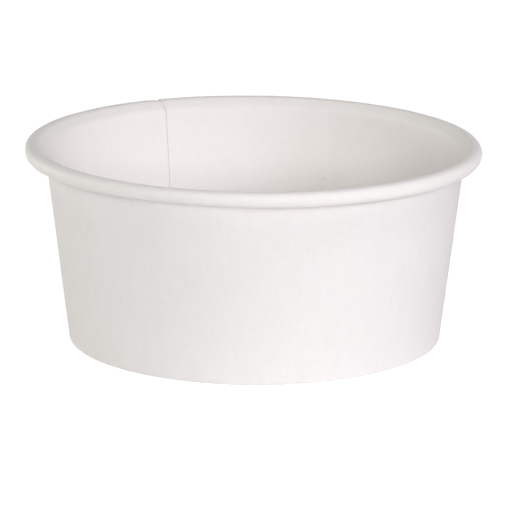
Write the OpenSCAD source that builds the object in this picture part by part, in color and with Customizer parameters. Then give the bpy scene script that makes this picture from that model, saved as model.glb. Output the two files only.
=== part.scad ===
// Round salad bowl of coated paperboard: a wrapped sidewall with a rolled rim, a lapped side
// seam and a hemmed foot, and a pressed base disc whose edge is held in the hem.
// The origin is on the axis, on the surface that the foot stands on.

/* [Bowl] */
// Outer diameter of the rolled rim
rim_d = 150; // [140:1:170]
// Outer diameter at the foot
foot_d = 122.8; // [108:0.2:130]
// Height from the foot to the crest of the rim
height = 65.5; // [45:0.5:90]

/* [Board] */
// Thickness of the sidewall board
wall_t = 0.5; // [0.35:0.05:0.6]
// Thickness of the base board
base_t = 0.4; // [0.3:0.05:0.6]
// Clearance between boards that lie against each other
fit_gap = 0.05; // [0.02:0.01:0.1]

/* [Rolled rim] */
// Height of the bead
bead_h = 5; // [4.8:0.1:6]
// How far the bead stands out past the wall's outer face
bead_out = 5.7; // [5.5:0.05:7]
// How much tighter the board curls once it is back under the bead
curl_step = 0.9; // [0.7:0.05:1.1]
// Clearance between the wall and the tucked-in edge inside the bead
curl_gap = 0.8; // [0.65:0.05:1]
// How far the tucked-in edge turns up inside the bead, in degrees
tuck_turn = 105; // [60:5:115]

/* [Side seam] */
// Direction of the inner cut edge from +X, in degrees
seam_at = 116.6; // [0:0.1:359.9]
// Width of the lap in which the two ends of the blank are sealed
lap_w = 8; // [5:0.5:12]

/* [Foot] */
// Height of the recess under the base
recess_h = 8; // [7.5:0.5:12]
// Height of the hem that is folded up inside the foot
hem_h = 6.5; // [4:0.25:7]
// Inside radius of the two folds at the foot
fold_in = 0.1; // [0.05:0.01:0.15]
// Height at which the lap has its full thickness above the fold
lap_rise = 3; // [2:0.5:5]
// Outside radius of the bend round the base disc
base_bend = 1.2; // [0.8:0.1:2]

/* [Hidden] */
$fn = 180;

// Largest turn between two points on a small arc
arc_step = 11.25;

// Height at which the outer layer of the lap comes out of the wall, and how much sooner than the
// inner layer it ends inside the bead, in degrees
lap_start = lap_rise / 2;
lap_short = 5;

foot_r = foot_d / 2;
bead_r = bead_h / 2;
crest_r = rim_d / 2 - bead_r;
lean = atan2(rim_d / 2 - bead_out - foot_r, height);

// The inner flank of the bead is one arc, tangent to the wall's inner face and to the crest
flank_r = ((bead_out - bead_r) * cos(lean) + wall_t) / (1 - sin(lean));
tail_r = bead_r - curl_step;
tail_z = height - bead_h + tail_r;
fold_r = fold_in + wall_t / 2;
fold_z = wall_t / 2 + fold_r;

// Depth of each board's faces, square to the wall and inward from its outer face
skirt_out = wall_t + fit_gap;
skirt_in = skirt_out + base_t;
hem_mid = skirt_in + fit_gap + wall_t / 2;

// Angle that the lap takes on the round of the wall
lap_turn = lap_w / crest_r * 180 / PI;

// Radius at height z of a line that runs along the wall, at a depth inward from its outer face
function along_wall(z, depth) = foot_r + (z * sin(lean) - depth) / cos(lean);

// Points on an arc round c, from angle a0 to angle a1
function arc(c, r, a0, a1) =
    let (n = ceil(abs(a1 - a0) / arc_step))
    [for (i = [0:n]) c + r * [cos(a0 + (a1 - a0) * i / n), sin(a0 + (a1 - a0) * i / n)]];

function reverse(points) = [for (i = [len(points) - 1:-1:0]) points[i]];

// The arc without its first point, where it goes on from the arc before it
function arc_on(c, r, a0, a1) =
    let (points = arc(c, r, a0, a1))
    [for (i = [1:len(points) - 1]) points[i]];

// Course of the wall from height z up, and on round the bead, at off outside the middle of the board
function upper(off, z, turn) =
    let (bead_off = wall_t / 2 + off)
    concat(
        [[along_wall(z, wall_t / 2 - off), z]],
        arc([crest_r, height - flank_r], flank_r - bead_off, 180 - lean, 90),
        arc_on([crest_r, height - bead_r], bead_r - bead_off, 90, -90),
        arc([along_wall(tail_z, -tail_r - curl_gap), tail_z], tail_r - bead_off, -90, -90 - turn)
    );

// Course of the whole board, from the top of the hem down, round the foot, up and round the bead
function course(off) =
    concat(
        [[along_wall(hem_h, hem_mid + off), hem_h]],
        arc([along_wall(fold_z, hem_mid - fold_r), fold_z], fold_r + off, 180 - lean, 270),
        arc([along_wall(fold_z, wall_t / 2 + fold_r), fold_z], fold_r + off, 270, 360 - lean),
        upper(off, lap_rise, tuck_turn)
    );

// Board that lies on the outside of the lap; it starts inside the wall, just above the fold
module lap_layer() {
    polygon(concat(
        upper(0, lap_start, tuck_turn - lap_short),
        reverse(upper(wall_t * 3 / 2, lap_rise, tuck_turn - lap_short))
    ));
}

// Wrapped wall with the rolled rim, the side seam and the folded hem
module sidewall() {
    color("#f1efeb") {
        rotate_extrude() polygon(concat(course(-wall_t / 2), reverse(course(wall_t / 2))));
        rotate([0, 0, seam_at - lap_turn]) rotate_extrude(angle = lap_turn) lap_layer();
    }
}

// Pressed base with its edge turned down between the wall and the hem
module base_disc() {
    top = recess_h + base_t;
    seat = wall_t + fit_gap;
    bend_z = top - base_bend;
    bend_c = [along_wall(bend_z, skirt_out + base_bend), bend_z];
    color("#f4f2ee")
    rotate_extrude() polygon(concat(
        [[0, recess_h]],
        reverse(arc(bend_c, base_bend - base_t, -lean, 90)),
        [[along_wall(seat, skirt_in), seat], [along_wall(seat, skirt_out), seat]],
        arc(bend_c, base_bend, -lean, 90),
        [[0, top]]
    ));
}

sidewall();
base_disc();
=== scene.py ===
# Paper salad bowl: both boards with their finish, a plain floor, soft lights and the camera
import math

import bpy
import numpy as np
from mathutils import Matrix, Vector, noise


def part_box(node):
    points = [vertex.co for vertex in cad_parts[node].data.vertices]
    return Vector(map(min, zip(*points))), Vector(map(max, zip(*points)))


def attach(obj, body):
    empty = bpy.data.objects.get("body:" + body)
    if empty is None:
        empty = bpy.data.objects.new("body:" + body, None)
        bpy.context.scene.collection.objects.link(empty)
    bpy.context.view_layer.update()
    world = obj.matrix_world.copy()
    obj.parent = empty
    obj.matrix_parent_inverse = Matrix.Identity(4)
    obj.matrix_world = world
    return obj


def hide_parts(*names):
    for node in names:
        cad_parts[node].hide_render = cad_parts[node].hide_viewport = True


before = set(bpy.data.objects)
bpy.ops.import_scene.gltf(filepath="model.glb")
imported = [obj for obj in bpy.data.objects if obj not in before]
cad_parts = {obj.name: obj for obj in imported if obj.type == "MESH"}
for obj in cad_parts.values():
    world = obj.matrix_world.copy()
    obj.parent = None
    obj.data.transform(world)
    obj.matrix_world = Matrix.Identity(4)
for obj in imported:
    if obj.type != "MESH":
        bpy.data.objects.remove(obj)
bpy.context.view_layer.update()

# Sizes in metres, as in the CAD model, and angles in radians
RIM_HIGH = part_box("sidewall")[1]
RIM_R = RIM_HIGH.x
HEIGHT = RIM_HIGH.z
FOOT_R = 0.0614
WALL_T = 0.0005
BASE_T = 0.0004
FIT_GAP = 0.00005
BEAD_R = 0.0025
BEAD_OUT = 0.0057
CURL_STEP = 0.0009
CURL_GAP = 0.0008
TUCK_TURN = math.radians(105)
SEAM_AT = math.radians(116.6)
LAP_W = 0.008
JOG_W = 0.004
RECESS_H = 0.008
HEM_H = 0.0065
FOLD_R = 0.0001 + WALL_T / 2
LAP_RISE = 0.003
BASE_BEND = 0.0012

CREST_R = RIM_R - BEAD_R
LEAN = math.atan2(RIM_R - BEAD_OUT - FOOT_R, HEIGHT)
TAIL_R = BEAD_R - CURL_STEP
TAIL_Z = HEIGHT - 2 * BEAD_R + TAIL_R
FOLD_Z = WALL_T / 2 + FOLD_R
SKIRT_OUT = WALL_T + FIT_GAP
SKIRT_IN = SKIRT_OUT + BASE_T
HEM_MID = SKIRT_IN + FIT_GAP + WALL_T / 2
LAP_TURN = LAP_W / CREST_R
JOG_TURN = JOG_W / CREST_R

# Columns of the boards' meshes: once round the sidewall, across its lap, and round the base
COLUMNS = 640
LAP_COLUMNS = 12
BASE_COLUMNS = 240

# Steps along the boards' sections
HEM_STEPS = 5
HEM_BEND_STEPS = 4
FOOT_BEND_STEPS = 5
WALL_STEPS = 16
LIP_STEPS = 6
FLANK_STEPS = 7
BEAD_STEPS = 20
TAIL_STEPS = 7
FLAT_STEPS = 25
BASE_BEND_STEPS = 8
SKIRT_STEPS = 4

# Edges sharper than this are drawn as edges
SHARP = math.radians(40)

# Material numbers of the faces of a sheet, by the side of the board
OUTSIDE, INSIDE, EDGE = 0, 1, 2

# The seal presses the lap: the share of its thickness that each layer keeps, the gap that keeps the
# two layers apart, and the share of the lap's width over which the inner layer's pressing ends
SEALED = 0.7
LAP_GAP = 0.00001
PRESS_END = 0.1

# The knurl that presses the hem on the base: one flute every four columns
FLUTE_COLUMNS = 4
FLUTE_DEPTH = 0.00007

# The bowl isn't quite even: its rim leans to the right by RIM_TILT, the bead stands out more at the
# left than at the right, its height changes (by direction: middle, width and share), and the board
# is slightly dented where it curls (size and depth), most of all in the direction DENTED (middle and
# width), and by the share DENTED_ELSEWHERE all round. The corners of the bead stand out by the share
# SQUARE of its radius. The wall goes over into it by a bend of radius LIP_BEND and a straight lip of
# slope LIP_SLOPE. Directions are from +X.
RIM_TILT = -0.0058
BEAD_SHIFT = -0.00051
SQUARE = 0.035
LIP_SLOPE = math.radians(45)
LIP_BEND = 0.003
BEAD_CHANGES = (
    (math.radians(-107), math.radians(15), -0.085),
    (math.radians(-30), math.radians(45), 0.045),
    (math.radians(180), math.radians(28), 0.045),
)
DENTS = ((0.011, 0.0001), (0.0042, 0.00005))
DENTED = (math.radians(-140), math.radians(45))
DENTED_ELSEWHERE = 0.35

# Where the board curls, its colour is darkened a little as painted shade on the bead, and the board has
# small crimps across it that are CRIMP_STRETCH times as long as they are wide
CURL_PAINTED_SHADE = 0.06
CRIMP_WIDTH = 0.0009
CRIMP_STRETCH = 5.0
CRIMP_DEPTH = 0.000018

# The board's look: widths of its fibres, of their clumps, of the mottling and of the patches of
# colour, how much the clumps count against the fibres in colour and the fibres against the clumps
# in height, and how far the roughness wanders
FIBRE_SIZE = 0.0007
CLUMP_SIZE = 0.0024
MOTTLE_SIZE = 0.011
HUE_SIZE = 0.014
CLUMP_SHARE = 0.6
FIBRE_RISE = 0.6
ROUGH_CHANGE = 0.03

# How far the board's colour wanders from greenish to pinkish
HUE_SHIFT = (0.001, -0.002, 0.004)

# Camera of the photograph, fitted to the rim, the foot and the side outlines
CAMERA_AIM = Vector((0.00041, 0.0, 0.02661))
CAMERA_AWAY = 1.2505
CAMERA_UP = math.radians(14.31)
CAMERA_ROLL = math.radians(0.233)
CAMERA_LENS = 265.85
CAMERA_SENSOR = 36
CAMERA_SIGHT = 20

# Lights: name, azimuth and elevation in degrees, power in watts, colour
LIGHT_AWAY = 1.6
LIGHT_SIZE = 0.36
LIGHTS = [
    ("front", 0, 15.7, 9.8, (1, 1, 0.98)),
    ("front_right", 30, 20, 3.65, (0.945, 0.93, 1)),
    ("right", 60, 22, 4.05, (0.935, 0.91, 1)),
    ("side_right", 92, 32, 2.5, (1, 0.93, 0.98)),
    ("high_right", 60, 60, 4.4, (1, 1, 1)),
    ("high_front", 0, 60, 1.3, (1, 1, 1)),
    ("left", -60, 22, 0.9, (1, 1, 0.98)),
    ("side_left", -95, 26, 3.7, (1, 0.99, 0.925)),
    ("high_left", -90, 60, 0.6, (1, 1, 1)),
    ("low_left", -120, 4, 6.6, (1, 1, 0.925)),
    ("back_right", 130, 20, 0.4, (1, 1, 1)),
]

# The floor's size, its height just under the foot, and its colour. The floor and the world glow by
# one strength for the bowl, and by another for the camera.
FLOOR_SIZE = 8
FLOOR_Z = -0.0002
FLOOR_COLOR = (0.8, 0.8, 0.8, 1)
FLOOR_LIGHT = 0.13
FLOOR_GLOW = 0.75
WORLD_LIGHT = 0.0
WORLD_GLOW = 1.0
WHITE = (1, 1, 1, 1)

# Specks in the board: degrees round from +X, height and radius in metres, and how dark they are.
# Those in front and inside at the back are the photograph's.
OUTER_SPECKS = [
    (-140.2, 0.0484, 0.0005, 0.09),
    (-109.7, 0.0530, 0.0004, 0.05),
    (-107.2, 0.0533, 0.0005, 0.06),
    (-154.6, 0.0098, 0.0004, 0.09),
    (-146.7, 0.0136, 0.0005, 0.09),
    (-144.4, 0.0118, 0.0004, 0.08),
    (-154.2, 0.0082, 0.0004, 0.09),
    (-64.6, 0.0074, 0.0006, 0.05),
    (-103.8, 0.0370, 0.0004, 0.04),
    (14.0, 0.0410, 0.0004, 0.05),
    (51.0, 0.0182, 0.0005, 0.06),
    (88.0, 0.0522, 0.0004, 0.05),
    (139.0, 0.0301, 0.0005, 0.06),
    (171.0, 0.0115, 0.0004, 0.05),
]
INNER_SPECKS = [
    (68.5, 0.0387, 0.0006, 0.13),
    (126.7, 0.0555, 0.0005, 0.05),
    (-31.0, 0.0330, 0.0005, 0.06),
    (-122.0, 0.0240, 0.0004, 0.06),
]


def along_wall(z, depth):
    """Radius at height z of a line along the wall, at a depth inward from its outer face."""
    return FOOT_R + (z * math.sin(LEAN) - depth) / math.cos(LEAN)


def smooth(t):
    """Soft step from 0 to 1 as t goes from 0 to 1."""
    t = np.clip(t, 0, 1)
    return t * t * (3 - 2 * t)


def arc_course(centre, radius, a0, a1, steps, outside_in, square=0.0, quarters=1):
    """Points and outward normals of the board's middle on an arc. outside_in is -1 in the curl,
    where the board's outer face is on the inside of the arc. square is the share of the radius by
    which the middle of each of the arc's quarters stands out."""
    pace = quarters * math.pi / 2 / (a1 - a0)
    course = []
    for i in range(steps + 1):
        a = a0 + (a1 - a0) * i / steps
        quarter = pace * (a - a0)
        reach = radius * (1 + square * math.sin(2 * quarter) ** 2)
        growth = radius * square * 2 * math.sin(4 * quarter) * pace
        d = (math.cos(a), math.sin(a))
        face = Vector((reach * d[0] + growth * d[1], reach * d[1] - growth * d[0])).normalized()
        course.append(((centre[0] + reach * d[0], centre[1] + reach * d[1]),
                       (outside_in * face.x, outside_in * face.y)))
    return course


def lip_centre(bead_c, bead_r):
    """Centre of the bend between the wall and the lip: LIP_BEND away from the middle of both."""
    wall_dir = Vector((math.sin(LEAN), math.cos(LEAN)))
    wall_in = Vector((along_wall(0, WALL_T / 2), 0)) + LIP_BEND * Vector((wall_dir.y, -wall_dir.x))
    lip_dir = Vector((math.cos(LIP_SLOPE), math.sin(LIP_SLOPE)))
    lip_low = Vector(bead_c) + (bead_r - LIP_BEND) * Vector((-lip_dir.y, lip_dir.x))
    gap = lip_low - wall_in
    up = gap.cross(lip_dir) / wall_dir.cross(lip_dir)
    return tuple(wall_in + up * wall_dir)


def board_course():
    """The middle of the board in section, from the top of the hem down, round the foot, up the
    wall and round the bead: arrays of points, of normals to the board's outer face, and of part
    numbers (0 hem, 1 foot, 2 wall, 3 bead)."""
    half = math.pi / 2
    wall_normal = (math.cos(LEAN), -math.sin(LEAN))
    hem_normal = (-math.cos(LEAN), math.sin(LEAN))
    hem_c = (along_wall(FOLD_Z, HEM_MID - FOLD_R), FOLD_Z)
    foot_c = (along_wall(FOLD_Z, WALL_T / 2 + FOLD_R), FOLD_Z)
    lip = half + LIP_SLOPE
    bead_c = (CREST_R, HEIGHT - BEAD_R)
    bead_r = BEAD_R - WALL_T / 2
    lip_c = lip_centre(bead_c, bead_r)
    flank = arc_course(lip_c, LIP_BEND, math.pi - LEAN, lip, LIP_STEPS, -1)
    flank += arc_course(bead_c, bead_r, lip, half, FLANK_STEPS, -1)
    bead = arc_course(bead_c, bead_r, half, -half, BEAD_STEPS, -1, SQUARE, 2)
    tail_c = (along_wall(TAIL_Z, -TAIL_R - CURL_GAP), TAIL_Z)
    tail = arc_course(tail_c, TAIL_R - WALL_T / 2, -half, -half - TUCK_TURN, TAIL_STEPS, -1)
    hem_bend = arc_course(hem_c, FOLD_R, math.pi - LEAN, 3 * half, HEM_BEND_STEPS, 1)
    foot_bend = arc_course(foot_c, FOLD_R, 3 * half, 4 * half - LEAN, FOOT_BEND_STEPS, 1)
    hem_z = np.linspace(HEM_H, hem_bend[0][0][1], HEM_STEPS + 1)[:-1]
    hem = [((along_wall(z, HEM_MID), z), hem_normal) for z in hem_z]
    wall_low, wall_high = foot_bend[-1][0][1], flank[0][0][1]
    wall_z = wall_low + (wall_high - wall_low) * np.linspace(0, 1, WALL_STEPS + 1)[1:-1]
    wall = [((along_wall(z, WALL_T / 2), z), wall_normal) for z in wall_z]
    parts = [hem, hem_bend + foot_bend, wall, flank + bead[1:] + tail]
    numbers = np.repeat(range(4), [len(p) for p in parts])
    course = [c for p in parts for c in p]
    return np.array([c[0] for c in course]), np.array([c[1] for c in course]), numbers


def along_course(points):
    """Length along the section at each of its points."""
    return np.concatenate([[0], np.cumsum(np.hypot(*np.diff(points, axis=0).T))])


def turn_from(angle, middle):
    """Angle to a middle direction, from -pi to pi."""
    return (angle - middle + math.pi) % (2 * math.pi) - math.pi


def bead_height(angle):
    """Height of the bead below its crest, as a share of the nominal height, by direction."""
    return 1 + sum(much * np.exp(-(turn_from(angle, middle) / width) ** 2)
                   for middle, width, much in BEAD_CHANGES)


def dents(angle, points, on_bead):
    """How far the bead is pushed out or in, by direction and by point of the section."""
    middle, width = DENTED
    much = DENTED_ELSEWHERE + np.exp(-(turn_from(angle, middle) / width) ** 2)
    push = np.zeros((len(angle), len(points)))
    for i, a in enumerate(angle):
        for j in np.nonzero(on_bead)[0]:
            r, z = points[j]
            place = Vector((r * math.cos(a), r * math.sin(a), z))
            dent = sum(deep * noise.noise(place / size) for size, deep in DENTS)
            push[i, j] = much[i] * on_bead[j] * dent
    return push


def add_mesh(name, verts, faces, material_of_face, materials, flat_place, curl):
    """A mesh of one board. flat_place is each vertex's place on the flat board, in metres, and curl
    is 1 on the bead and 0 elsewhere."""
    mesh = bpy.data.meshes.new(name)
    mesh.from_pydata(verts.tolist(), [], faces)
    corners = np.empty(len(mesh.loops), dtype=int)
    mesh.loops.foreach_get("vertex_index", corners)
    flat_map = mesh.uv_layers.new(name="flat_board")
    flat_map.data.foreach_set("uv", flat_place[corners].ravel())
    mesh.attributes.new("curl", "FLOAT", "POINT").data.foreach_set("value", curl)
    for m in materials:
        mesh.materials.append(m)
    mesh.polygons.foreach_set("material_index", material_of_face)
    mesh.polygons.foreach_set("use_smooth", np.ones(len(faces), dtype=bool))
    mesh.set_sharp_from_angle(angle=SHARP)
    mesh.update()
    piece = bpy.data.objects.new(name, mesh)
    bpy.context.scene.collection.objects.link(piece)
    return piece


def face_offsets(travel, above_foot, part):
    """Depths of the sheet's inner and outer face from the middle of its first layer, by the way
    round and by point of the section. At the foot the two layers of the lap are pressed to one."""
    outside_lap = smooth((travel - (2 * math.pi - JOG_TURN)) / JOG_TURN)
    inside_lap = smooth((LAP_TURN - travel) / (LAP_TURN * PRESS_END) + 0.5)
    flute = 0.5 - 0.5 * np.cos(np.arange(len(travel)) * 2 * math.pi / FLUTE_COLUMNS)
    knurl = FLUTE_DEPTH * flute[:, None] * (part == 0)[None, :]
    share = 0.5 + (SEALED - 0.5) * above_foot[None, :]
    gap = LAP_GAP * above_foot[None, :]
    low = -WALL_T / 2 + (WALL_T * share + gap) * outside_lap[:, None]
    high = WALL_T / 2 + (WALL_T * (2 * share - 1) + gap) * outside_lap[:, None]
    high = high - WALL_T * (1 - share) * inside_lap[:, None] - knurl
    return low, high


def sheet_faces(m, n):
    """Faces of a sheet of m columns, each with n points of its inner face and then n of its outer
    face, closed along its four cut edges, and the material number of each."""
    faces, kinds = [], []

    def quad(a, b, c, d, kind):
        faces.append((d, c, b, a))
        kinds.append(kind)

    for i in range(m - 1):
        p, q = i * 2 * n, (i + 1) * 2 * n
        for j in range(n - 1):
            quad(p + j, p + j + 1, q + j + 1, q + j, INSIDE)
            quad(q + n + j, q + n + j + 1, p + n + j + 1, p + n + j, OUTSIDE)
        quad(p, q, q + n, p + n, EDGE)
        quad(q + n - 1, p + n - 1, p + 2 * n - 1, q + 2 * n - 1, EDGE)
    for i in (0, m - 1):
        p = i * 2 * n
        for j in range(n - 1):
            ids = (p + j, p + j + 1, p + n + j + 1, p + n + j)
            quad(*(reversed(ids) if i == 0 else ids), EDGE)
    return faces, kinds


def sidewall_board(outside, inside, edge):
    """The blank itself: one sheet that starts at the inner cut edge of the seam, goes once round
    the bowl, and ends outside its own start."""
    points, normals, part = board_course()
    n = len(points)
    turns = np.arange(COLUMNS + 1) * 2 * math.pi / COLUMNS
    lap = 2 * math.pi + np.arange(1, LAP_COLUMNS + 1) * LAP_TURN / LAP_COLUMNS
    travel = np.concatenate([turns, lap])
    m = len(travel)
    above_foot = smooth((points[:, 1] - FOLD_Z) / (LAP_RISE - FOLD_Z)) * (part > 1)
    angle = SEAM_AT - travel
    flank = np.nonzero(part == 3)[0]
    crest = flank[np.argmax(points[flank, 1] > HEIGHT - WALL_T / 2 - 1e-6)]
    past_crest = np.arange(n) > crest
    on_bead = smooth((np.arange(n) - flank[0]) / (crest - flank[0]))
    squeeze = np.where(past_crest[None, :], bead_height(angle)[:, None], 1.0)
    dent = dents(angle, points, on_bead)
    rings = []
    for off in face_offsets(travel, above_foot, part):
        r = points[None, :, 0] + (off + dent) * normals[None, :, 0]
        z = points[None, :, 1] + (off + dent) * normals[None, :, 1]
        z = HEIGHT - (HEIGHT - z) * squeeze
        x, y = r * np.cos(angle)[:, None], r * np.sin(angle)[:, None]
        z = z * (1 + RIM_TILT * x / HEIGHT)
        rings.append(np.stack([x + BEAD_SHIFT * on_bead[None, :], y, z], axis=2))
    verts = np.concatenate([rings[0], rings[1]], axis=1).reshape(-1, 3)

    faces, kinds = sheet_faces(m, n)
    along, across = (travel * CREST_R)[:, None], along_course(points)[None, :]
    flat = np.stack(np.broadcast_arrays(along, across), axis=2)
    piece = add_mesh("sidewall_board", verts, faces, kinds, [outside, inside, edge],
                     np.concatenate([flat, flat], axis=1).reshape(-1, 2),
                     np.tile(on_bead, 2 * m))
    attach(piece, "root")
    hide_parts("sidewall")
    return piece


def base_board(face, edge):
    """Pressed disc: flat, and bent down at the rim into its skirt."""
    half = math.pi / 2
    top = RECESS_H + BASE_T
    seat = WALL_T + FIT_GAP
    bend_z = top - BASE_BEND
    bend_c = (along_wall(bend_z, SKIRT_OUT + BASE_BEND), bend_z)
    middle = BASE_BEND - BASE_T / 2
    bend = arc_course(bend_c, middle, half, -LEAN, BASE_BEND_STEPS, 1)
    flat_r = np.linspace(0, bend[0][0][0], FLAT_STEPS + 1)[1:-1]
    course = [((r, top - BASE_T / 2), (0, 1)) for r in flat_r] + bend
    skirt_z = np.linspace(bend[-1][0][1], seat, SKIRT_STEPS + 1)[1:]
    skirt_normal = (math.cos(LEAN), -math.sin(LEAN))
    course += [((along_wall(z, SKIRT_OUT + BASE_T / 2), z), skirt_normal) for z in skirt_z]
    points = np.array([c[0] for c in course])
    normals = np.array([c[1] for c in course])
    n, m = len(points), BASE_COLUMNS
    angle = np.arange(m) * 2 * math.pi / m
    rings = []
    for off in (BASE_T / 2, -BASE_T / 2):
        r = points[:, 0] + off * normals[:, 0]
        z = points[:, 1] + off * normals[:, 1]
        x, y = r[None, :] * np.cos(angle)[:, None], r[None, :] * np.sin(angle)[:, None]
        rings.append(np.stack([x, y, np.broadcast_to(z, (m, n))], axis=2))
    verts = np.concatenate([rings[0], rings[1]], axis=1).reshape(-1, 3)
    centre = len(verts)
    verts = np.concatenate([verts, [[0, 0, top], [0, 0, RECESS_H]]])
    faces, kinds = [], []
    for i in range(m):
        p, q = i * 2 * n, ((i + 1) % m) * 2 * n
        faces.append((centre, p, q))
        faces.append((centre + 1, q + n, p + n))
        kinds += [0, 0]
        for j in range(n - 1):
            faces.append((p + j, p + j + 1, q + j + 1, q + j))
            faces.append((q + n + j, q + n + j + 1, p + n + j + 1, p + n + j))
            kinds += [0, 0]
        faces.append((p + n - 1, p + 2 * n - 1, q + 2 * n - 1, q + n - 1))
        kinds.append(1)
    piece = add_mesh("base_board", verts, faces, kinds, [face, edge],
                     verts[:, :2], np.zeros(len(verts)))
    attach(piece, "root")
    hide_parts("base_disc")
    return piece


def new_material(name, roughness, specular):
    """A material, its node tree and its shader."""
    material = bpy.data.materials.new(name)
    material.use_nodes = True
    shader = material.node_tree.nodes["Principled BSDF"]
    shader.inputs["Roughness"].default_value = roughness
    shader.inputs["Specular IOR Level"].default_value = specular
    return material, material.node_tree, shader


def node(tree, kind, values=(), **settings):
    """Adds a node, sets its fields, and links or sets its inputs, given as (input, value) pairs."""
    made = tree.nodes.new(kind)
    for key, value in settings.items():
        setattr(made, key, value)
    for key, value in values:
        if isinstance(value, bpy.types.NodeSocket):
            tree.links.new(value, made.inputs[key])
        else:
            made.inputs[key].default_value = value
    return made


def maths(tree, operation, a, b=0.0):
    """Output of a Math node on a and b."""
    return node(tree, "ShaderNodeMath", [(0, a), (1, b)], operation=operation).outputs[0]


def board_noise(tree, size, stretch, detail=2.0, roughness=0.5, flat=False):
    """Noise from -1 to 1 whose grains are about size metres wide, and stretch times as tall. It runs
    over the flat board, or else through space."""
    place = node(tree, "ShaderNodeTexCoord").outputs["UV" if flat else "Object"]
    tall = 1 / size / stretch
    scale = (1 / size, tall, 1) if flat else (1 / size, 1 / size, tall)
    scaled = node(tree, "ShaderNodeMapping", [("Vector", place), ("Scale", scale)])
    grains = node(tree, "ShaderNodeTexNoise", [("Vector", scaled.outputs[0]), ("Scale", 1.0),
                                               ("Detail", detail), ("Roughness", roughness)])
    reach = [("From Min", 0.25), ("From Max", 0.75), ("To Min", -1.0), ("To Max", 1.0)]
    return node(tree, "ShaderNodeMapRange", [("Value", grains.outputs["Fac"])] + reach,
                clamp=False).outputs[0]


def summed(tree, terms):
    """Sum of socket times factor."""
    total = maths(tree, "MULTIPLY", *terms[0])
    for value, factor in terms[1:]:
        total = node(tree, "ShaderNodeMath", [(0, value), (1, factor), (2, total)],
                     operation="MULTIPLY_ADD").outputs[0]
    return total


def specks(tree, spots):
    """Share from 0 to 1 that dark specks take, each a point in metres, a radius and a strength."""
    place = node(tree, "ShaderNodeTexCoord").outputs["Object"]
    total = None
    for point, radius, strength in spots:
        away = node(tree, "ShaderNodeVectorMath", [(0, place), (1, point)], operation="DISTANCE")
        fade = [("From Min", radius * 0.4), ("From Max", radius), ("To Min", strength), ("To Max", 0.0)]
        spot = node(tree, "ShaderNodeMapRange", [("Value", away.outputs["Value"])] + fade).outputs[0]
        total = spot if total is None else maths(tree, "MAXIMUM", total, spot)
    return total


def board_material(name, color, roughness, specular, grain, mottle, fibre, bump, spots=()):
    """Coated paperboard: a near-white colour with fine upright fibres, soft mottling and specks.
    grain is how much taller than wide the fibres look, and mottle and fibre are how far the
    lightness goes up and down. Where the board curls, it has small crimps across the bead, and its
    colour is darkened there as painted shade."""
    material, tree, shader = new_material(name, roughness, specular)
    fine = board_noise(tree, FIBRE_SIZE, grain, detail=3.0, roughness=0.6)
    middle = board_noise(tree, CLUMP_SIZE, grain)
    broad = board_noise(tree, MOTTLE_SIZE, 1.2, detail=1.0)
    light = summed(tree, [(fine, fibre), (middle, fibre * CLUMP_SHARE), (broad, mottle)])
    level = maths(tree, "ADD", light, 1.0)
    if spots:
        level = maths(tree, "MULTIPLY", level, maths(tree, "SUBTRACT", 1.0, specks(tree, spots)))
    curl = node(tree, "ShaderNodeAttribute", attribute_name="curl").outputs["Fac"]
    # Painted shade: the colour is darkened a little where the board curls, on the bead
    level = maths(tree, "MULTIPLY", level, summed(tree, [(curl, -CURL_PAINTED_SHADE), (1.0, 1.0)]))
    plain = node(tree, "ShaderNodeVectorMath", [(0, color), ("Scale", level)], operation="SCALE")
    hue = board_noise(tree, HUE_SIZE, 1.3)
    tinted = node(tree, "ShaderNodeVectorMath", [(0, hue), (1, HUE_SHIFT), (2, plain.outputs[0])],
                  operation="MULTIPLY_ADD")
    tree.links.new(tinted.outputs[0], shader.inputs["Base Color"])
    crimps = maths(tree, "MULTIPLY", board_noise(tree, CRIMP_WIDTH, CRIMP_STRETCH, flat=True), curl)
    height = summed(tree, [(fine, FIBRE_RISE * bump), (middle, bump), (crimps, CRIMP_DEPTH)])
    bumped = node(tree, "ShaderNodeBump", [("Height", height), ("Strength", 1.0), ("Distance", 1.0)])
    tree.links.new(bumped.outputs[0], shader.inputs["Normal"])
    wander = summed(tree, [(middle, ROUGH_CHANGE), (broad, ROUGH_CHANGE)])
    rough = maths(tree, "ADD", wander, roughness)
    tree.links.new(rough, shader.inputs["Roughness"])
    return material


def on_wall(turn, z, depth):
    """Point on the wall, at an angle in degrees from +X, a height and a depth from its outer face."""
    r = along_wall(z, depth)
    return (r * math.cos(math.radians(turn)), r * math.sin(math.radians(turn)), z)


def seen_share(tree):
    """1 for rays from the camera and those that a gloss or a glass sends on, and 0 for others."""
    path = node(tree, "ShaderNodeLightPath")
    seen = maths(tree, "MAXIMUM", path.outputs["Is Camera Ray"], path.outputs["Is Glossy Ray"])
    return maths(tree, "MAXIMUM", seen, path.outputs["Is Transmission Ray"])


def glow(tree, for_bowl, for_camera):
    """Strength of a glow: one value for the light on the bowl, and another for what is seen."""
    return node(tree, "ShaderNodeMapRange", [("Value", seen_share(tree)), ("To Min", for_bowl),
                                             ("To Max", for_camera)]).outputs[0]


def floor():
    """Pale floor that glows: a little for the bowl, and for the camera so much that it is white
    where nothing shades it."""
    bpy.ops.mesh.primitive_plane_add(size=FLOOR_SIZE, location=(0, 0, FLOOR_Z))
    piece = bpy.context.object
    piece.name = "floor"
    material, tree, shader = new_material("floor_white", roughness=0.9, specular=0.0)
    shader.inputs["Base Color"].default_value = FLOOR_COLOR
    shader.inputs["Emission Color"].default_value = WHITE
    tree.links.new(glow(tree, FLOOR_LIGHT, FLOOR_GLOW), shader.inputs["Emission Strength"])
    piece.data.materials.append(material)


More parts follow.
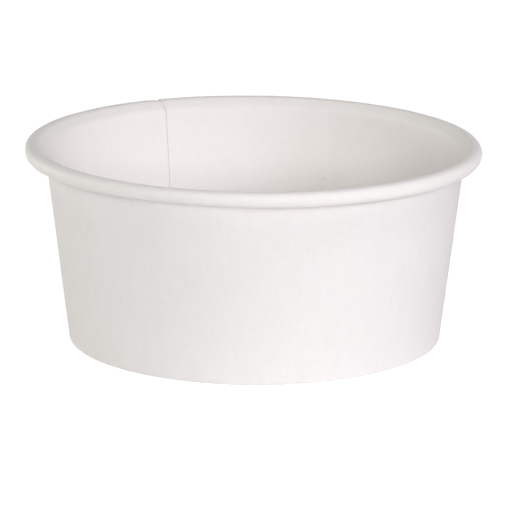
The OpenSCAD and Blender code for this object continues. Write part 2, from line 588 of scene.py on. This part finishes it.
def area_light(name, azimuth, elevation, power, color):
    """A square soft light that looks at the bowl. Azimuth 0 is at the camera's side, and 90 at
    the right."""
    a, e = math.radians(azimuth), math.radians(elevation)
    place = Vector((math.sin(a) * math.cos(e), -math.cos(a) * math.cos(e), math.sin(e))) * LIGHT_AWAY
    data = bpy.data.lights.new(name, "AREA")
    data.shape = "SQUARE"
    data.size = LIGHT_SIZE
    data.energy = power
    data.color = color
    light = bpy.data.objects.new(name, data)
    light.location = place + Vector((0, 0, HEIGHT / 2))
    light.rotation_euler = (-place).to_track_quat("-Z", "Y").to_euler()
    bpy.context.scene.collection.objects.link(light)


def lights():
    """The soft lights, and a world that is white for the camera."""
    for name, azimuth, elevation, power, color in LIGHTS:
        area_light(name, azimuth, elevation, power, color)
    world = bpy.data.worlds.new("world")
    bpy.context.scene.world = world
    world.use_nodes = True
    tree = world.node_tree
    background = tree.nodes["Background"]
    background.inputs["Color"].default_value = WHITE
    tree.links.new(glow(tree, WORLD_LIGHT, WORLD_GLOW), background.inputs["Strength"])


def camera():
    """The photograph's camera: in front of the bowl and a little above its rim."""
    data = bpy.data.cameras.new("camera")
    data.lens = CAMERA_LENS
    data.sensor_width = CAMERA_SENSOR
    data.clip_end = CAMERA_SIGHT
    view = bpy.data.objects.new("camera", data)
    away = Vector((0, -math.cos(CAMERA_UP), math.sin(CAMERA_UP)))
    turn = (-away).to_track_quat("-Z", "Y").to_matrix().to_4x4() @ Matrix.Rotation(CAMERA_ROLL, 4, "Z")
    view.matrix_world = Matrix.Translation(CAMERA_AIM + away * CAMERA_AWAY) @ turn
    bpy.context.scene.collection.objects.link(view)
    bpy.context.scene.camera = view


def main():
    bpy.context.scene.view_settings.view_transform = "Standard"
    outer_spots = [(on_wall(turn, z, 0), r, dark) for turn, z, r, dark in OUTER_SPECKS]
    inner_spots = [(on_wall(turn, z, WALL_T), r, dark) for turn, z, r, dark in INNER_SPECKS]
    outside = board_material("board_outside", (0.86, 0.835, 0.825), roughness=0.65, specular=0.2,
                             grain=2.6, mottle=0.006, fibre=0.018, bump=0.000014, spots=outer_spots)
    inside = board_material("board_inside", (0.92, 0.89, 0.868), roughness=0.5, specular=0.3,
                            grain=1.3, mottle=0.006, fibre=0.016, bump=0.000008, spots=inner_spots)
    edge = board_material("board_edge", (0.82, 0.79, 0.73), roughness=0.9, specular=0.1,
                          grain=1.0, mottle=0.02, fibre=0.03, bump=0.00002)
    sidewall_board(outside, inside, edge)
    base_board(inside, edge)
    floor()
    lights()
    camera()


main()
